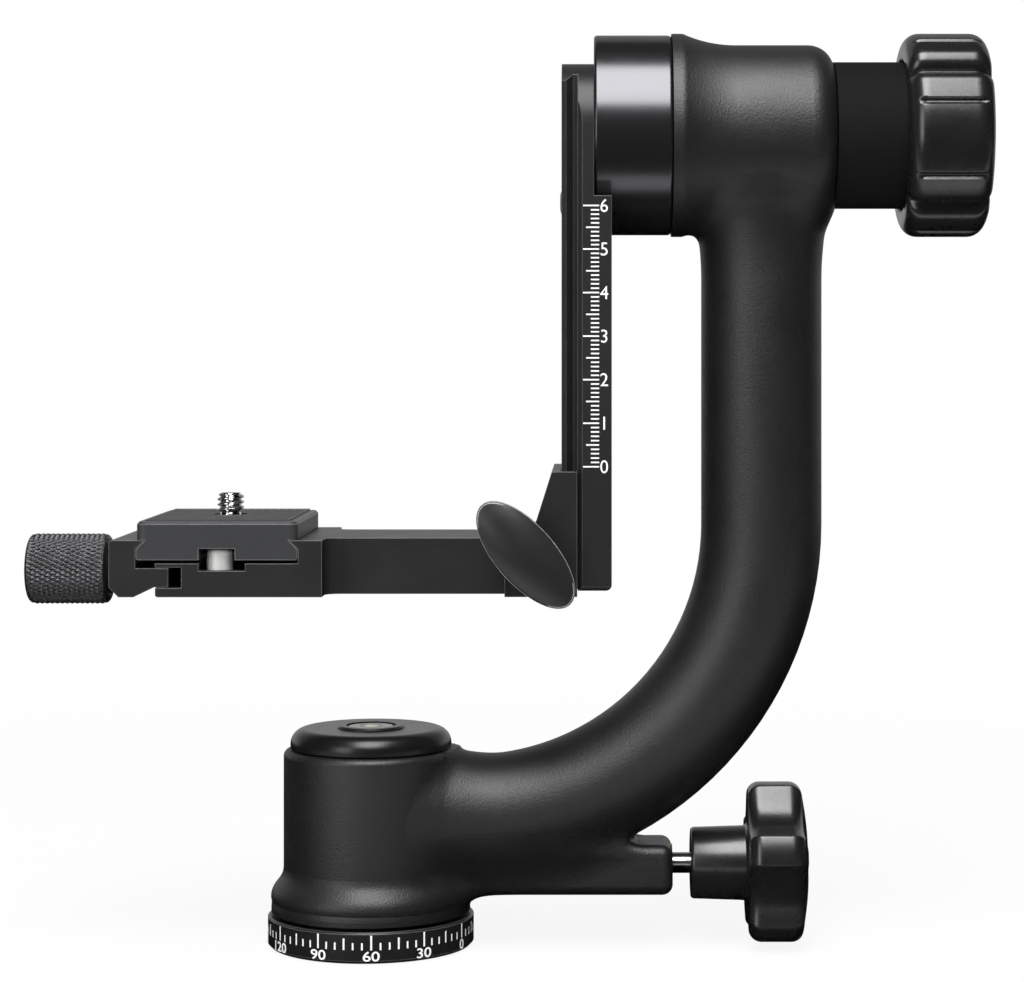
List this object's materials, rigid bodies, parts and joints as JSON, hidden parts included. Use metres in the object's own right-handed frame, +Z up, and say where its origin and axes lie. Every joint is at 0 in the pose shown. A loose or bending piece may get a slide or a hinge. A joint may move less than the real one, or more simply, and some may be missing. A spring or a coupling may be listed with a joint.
{
  "type": "gimbal tripod head",
  "caption": "Gimbal head: a curved arm that pans on a graduated base and holds a swinging rail, on which an L-shaped platform with a quick release clamp slides.",
  "frame": {"origin": "centre of the tripod thread's mouth in the underside of the base", "axes": "+Z up the pan axis, +X towards the curved arm and along the tilt axis, -Y towards the side that carries the scale and the paddle"},
  "size_m": [0.2269, 0.0586, 0.216],
  "materials": {
    "black_anodised": "satin",
    "powder_coat": "satin",
    "gloss_anodised": "gloss",
    "plate_anodised": "satin",
    "matt_collar": "matte",
    "knob_plastic": "satin",
    "gloss_cap": "gloss",
    "rubber_pad": "matte",
    "nylon": "satin",
    "vial_glass": "gloss",
    "bronze": "satin",
    "steel": "satin",
    "bright_steel": "satin",
    "black_steel": "satin",
    "chrome": "polished"
  },
  "bodies": {
    "base": {"graduated_base": "black_anodised", "thread_bushing": "steel", "pan_spindle": "steel", "spindle_screws": "black_steel", "thrust_washer": "nylon", "retaining_washer": "steel", "retaining_screw": "black_steel"},
    "arm": {"arm_casting": "powder_coat", "pan_bush_lower": "bronze", "pan_bush_upper": "bronze", "base_cap": "gloss_cap", "level_bezel": "gloss_cap", "level_vial": "vial_glass", "pan_lock_insert": "bronze", "tilt_bush_left": "bronze", "tilt_bush_right": "bronze", "tilt_collar": "matt_collar", "collar_screws": "black_steel"},
    "pan_brake": {"pan_brake_pad": "nylon"},
    "pan_lock": {"pan_lock_shaft": "steel", "pan_lock_knob": "knob_plastic"},
    "swing": {"tilt_axle": "steel", "tilt_drum": "gloss_anodised", "drum_screws": "black_steel", "friction_washer": "nylon", "axle_washer": "steel", "axle_nut": "steel", "swing_rail": "black_anodised", "rail_screws": "black_steel", "rail_stop_screws": "black_steel"},
    "tilt_brake": {"tilt_brake_pad": "nylon"},
    "tilt_lock": {"tilt_lock_screw": "steel", "tilt_knob": "knob_plastic"},
    "platform": {"platform_bar": "black_anodised", "guide_pins": "steel", "pin_plug": "black_steel", "pin_spring": "steel"},
    "rail_jaw": {"rail_jaw": "black_anodised"},
    "paddle": {"paddle_screw": "steel", "clamp_paddle": "black_anodised"},
    "clamp_jaw": {"clamp_jaw": "black_anodised"},
    "clamp_knob": {"clamp_screw": "steel", "clamp_knob": "black_anodised"},
    "plate": {"quick_plate": "plate_anodised", "plate_pad": "rubber_pad"},
    "camera_screw": {"camera_screw": "chrome"},
    "stop_pin": {"stop_pin": "bright_steel"}
  },
  "joints": [
    {"name": "pan", "type": "hinge", "parent": "base", "child": "arm", "pos_m": [0, 0, 0.02], "axis": [0, 0, 1], "continuous": true},
    {"name": "pan_brake_travel", "type": "slide", "parent": "arm", "child": "pan_brake", "axis": [1, 0, 0], "range_m": [0, 0.0024]},
    {"name": "pan_lock_turn", "type": "hinge", "parent": "pan_brake", "child": "pan_lock", "pos_m": [0.08, 0, 0.0189], "axis": [1, 0, 0], "range_deg": [0, 1081]},
    {"name": "tilt", "type": "hinge", "parent": "arm", "child": "swing", "pos_m": [0.0714, 0, 0.1919], "axis": [1, 0, 0], "continuous": true},
    {"name": "tilt_brake_travel", "type": "slide", "parent": "arm", "child": "tilt_brake", "axis": [1, 0, 0], "range_m": [0, 0.00225]},
    {"name": "tilt_lock_turn", "type": "hinge", "parent": "tilt_brake", "child": "tilt_lock", "pos_m": [0.13, 0, 0.1919], "axis": [1, 0, 0], "range_deg": [0, 541]},
    {"name": "height", "type": "slide", "parent": "swing", "child": "platform", "axis": [0, 0, 1], "range_m": [0, 0.06]},
    {"name": "rail_jaw_travel", "type": "slide", "parent": "platform", "child": "rail_jaw", "axis": [0, 1, 0], "range_m": [-0.00125, 0]},
    {"name": "paddle_turn", "type": "hinge", "parent": "rail_jaw", "child": "paddle", "pos_m": [0.0375, -0.03, 0.0943], "axis": [0, 1, 0], "range_deg": [-451, 0]},
    {"name": "clamp_jaw_travel", "type": "slide", "parent": "platform", "child": "clamp_jaw", "axis": [1, 0, 0], "range_m": [-0.004, 0]},
    {"name": "clamp_knob_turn", "type": "hinge", "parent": "clamp_jaw", "child": "clamp_knob", "pos_m": [-0.07, 0, 0.0889], "axis": [1, 0, 0], "range_deg": [-1801, 0]},
    {"name": "plate_slide", "type": "slide", "parent": "platform", "child": "plate", "axis": [0, 1, 0], "range_m": [-0.0115, 0.02]},
    {"name": "camera_screw_turn", "type": "hinge", "parent": "plate", "child": "camera_screw", "pos_m": [-0.0334, 0, 0.1], "axis": [0, 0, 1], "continuous": true},
    {"name": "stop_pin_press", "type": "slide", "parent": "platform", "child": "stop_pin", "axis": [0, 0, 1], "range_m": [-0.0025, 0], "stiffness_N_per_m": 300, "springref_m": 0.002, "deforming": ["pin_spring"]}
  ],
  "couplings": [
    {"joint": "pan_lock_turn", "follows": "pan_brake_travel", "rad_per_m": 7854},
    {"joint": "tilt_lock_turn", "follows": "tilt_brake_travel", "rad_per_m": 4188.8},
    {"joint": "paddle_turn", "follows": "rail_jaw_travel", "rad_per_m": 6283.2},
    {"joint": "clamp_knob_turn", "follows": "clamp_jaw_travel", "rad_per_m": 7854}
  ]
}
